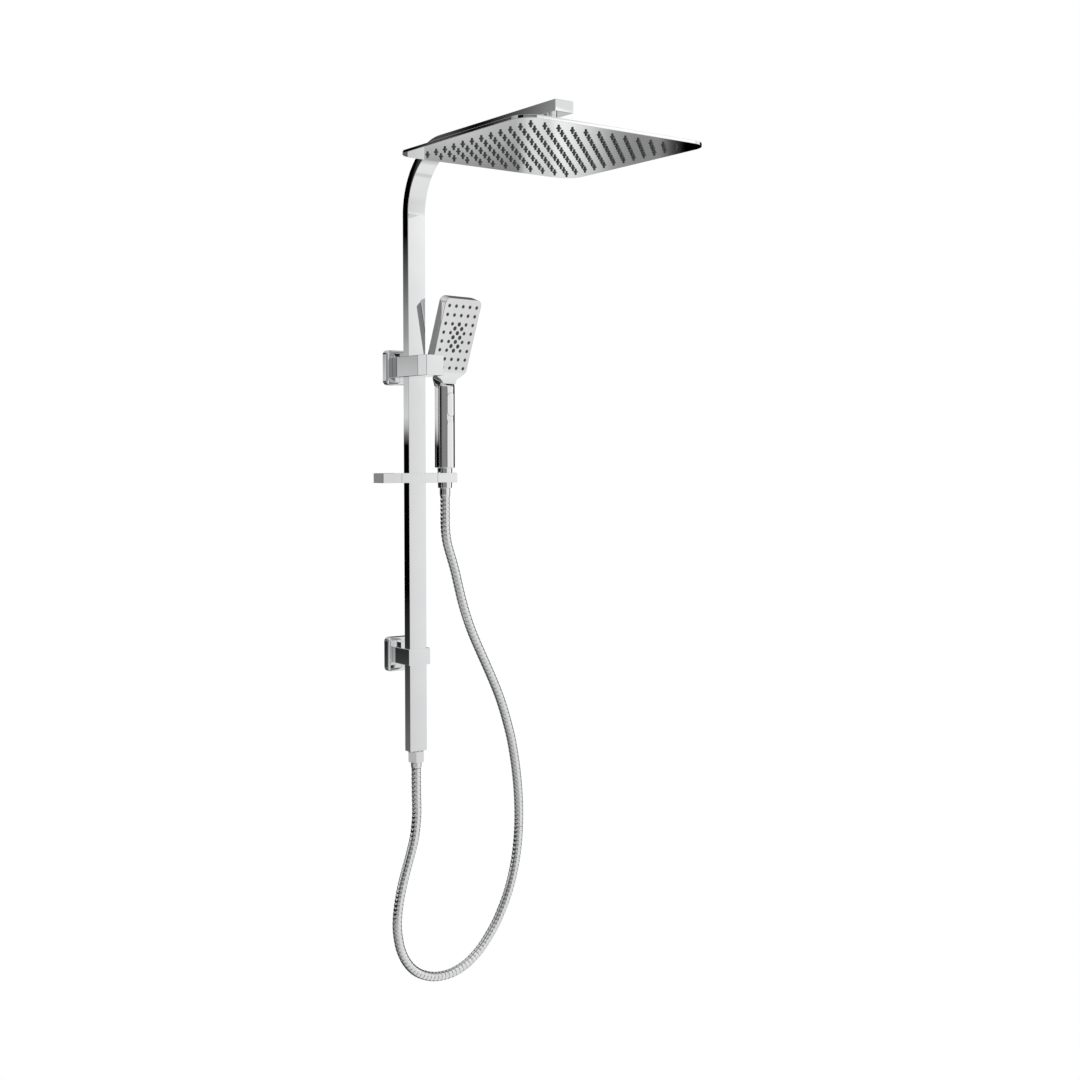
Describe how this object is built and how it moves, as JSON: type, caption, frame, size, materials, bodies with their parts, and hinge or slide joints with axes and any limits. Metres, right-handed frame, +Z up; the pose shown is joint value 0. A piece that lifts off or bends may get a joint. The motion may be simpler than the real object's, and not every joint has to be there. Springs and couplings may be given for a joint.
{
  "type": "rainfall shower column",
  "caption": "Wall-mounted shower column: flat rectangular rail and overhead arm with a large square rain head, a diverter, a sliding cradle, a hand shower and its hose.",
  "frame": {"origin": "centre of the back face of the lower wall plate, on the wall surface", "axes": "+X to the right along the wall, +Y into the wall, +Z up along the rail"},
  "size_m": [0.3509, 0.543, 1.2871],
  "materials": {
    "chromed_brass": "polished",
    "polished_steel": "polished",
    "chromed_plastic": "polished",
    "chromed_hose": "polished",
    "brass": "satin",
    "steel": "satin",
    "nylon": "matte",
    "black_rubber": "matte",
    "grey_silicone": "satin"
  },
  "bodies": {
    "root": {"upper_wall_flange": "chromed_brass", "lower_wall_flange": "chromed_brass", "diverter_body": "chromed_brass", "riser_and_arm_tube": "chromed_brass", "arm_end_cap": "chromed_brass", "rail_tube": "chromed_brass", "lower_bracket_arm": "chromed_brass", "hose_hex_nut": "chromed_brass", "hose_lower_ferrule": "chromed_brass", "arm_ball_nipple": "chromed_brass", "hose": "chromed_hose", "inlet_nipple": "brass", "diverter_cartridge": "brass", "cartridge_nut": "brass", "rail_outlet": "brass", "hose_lower_insert": "brass", "upper_fixing_plate": "steel", "upper_wall_screw_left": "steel", "upper_wall_screw_right": "steel", "lower_fixing_plate": "steel", "lower_wall_screw_left": "steel", "lower_wall_screw_right": "steel", "bracket_grub_screw": "steel", "riser_gasket": "black_rubber", "rail_gasket": "black_rubber", "outlet_washer": "black_rubber"},
    "knob": {"diverter_knob": "chromed_brass", "diverter_spindle": "brass"},
    "slider": {"slider_body": "chromed_brass", "brake_pad": "nylon", "cradle_pivot_pin": "brass"},
    "grip": {"lock_grip": "chromed_plastic", "clamp_spindle": "brass"},
    "cradle": {"cradle": "chromed_plastic"},
    "handset": {"handset_body": "chromed_plastic", "spray_plate": "chromed_plastic", "spray_nozzle_mat": "grey_silicone", "flow_tube": "nylon", "selector_valve": "nylon", "handset_washer": "black_rubber", "hose_conical_nut": "chromed_brass", "hose_upper_insert": "brass", "hose_upper_ferrule": "chromed_brass"},
    "button": {"push_button": "chromed_plastic", "button_spring_cup": "steel"},
    "head_seat": {"ball_seat_ring": "nylon"},
    "rain_head": {"swivel_nut": "chromed_brass", "head_socket": "polished_steel", "rain_head_shell": "polished_steel", "rain_nozzle_mat": "grey_silicone", "rain_head_face": "polished_steel"}
  },
  "joints": [
    {"name": "diverter_turn", "type": "hinge", "parent": "root", "child": "knob", "pos_m": [0, -0.096, 0.442], "axis": [0, 1, 0], "range_deg": [0, 90]},
    {"name": "slider_height", "type": "slide", "parent": "root", "child": "slider", "axis": [0, 0, 1], "range_m": [-0.25, 0.135], "deforming": ["hose"]},
    {"name": "lock_grip_turn", "type": "hinge", "parent": "slider", "child": "grip", "pos_m": [-0.048, -0.04925, 0.2734], "axis": [1, 0, 0], "range_deg": [0, 90]},
    {"name": "cradle_tilt", "type": "hinge", "parent": "slider", "child": "cradle", "pos_m": [0.036, -0.04925, 0.2734], "axis": [1, 0, 0], "range_deg": [-8, 30]},
    {"name": "handset_lift", "type": "slide", "parent": "cradle", "child": "handset", "axis": [0, 0, 1], "range_m": [0, 0.025]},
    {"name": "button_press", "type": "slide", "parent": "handset", "child": "button", "axis": [-0.1478, 0.989, 0], "range_m": [0, 0.0015], "stiffness_N_per_m": 300, "springref_m": -0.004},
    {"name": "head_tilt_front", "type": "hinge", "parent": "root", "child": "head_seat", "pos_m": [0, -0.393, 0.732], "axis": [1, 0, 0], "range_deg": [-8, 8]},
    {"name": "head_tilt_side", "type": "hinge", "parent": "head_seat", "child": "rain_head", "pos_m": [0, -0.393, 0.732], "axis": [0, 1, 0], "range_deg": [-8, 8]}
  ]
}
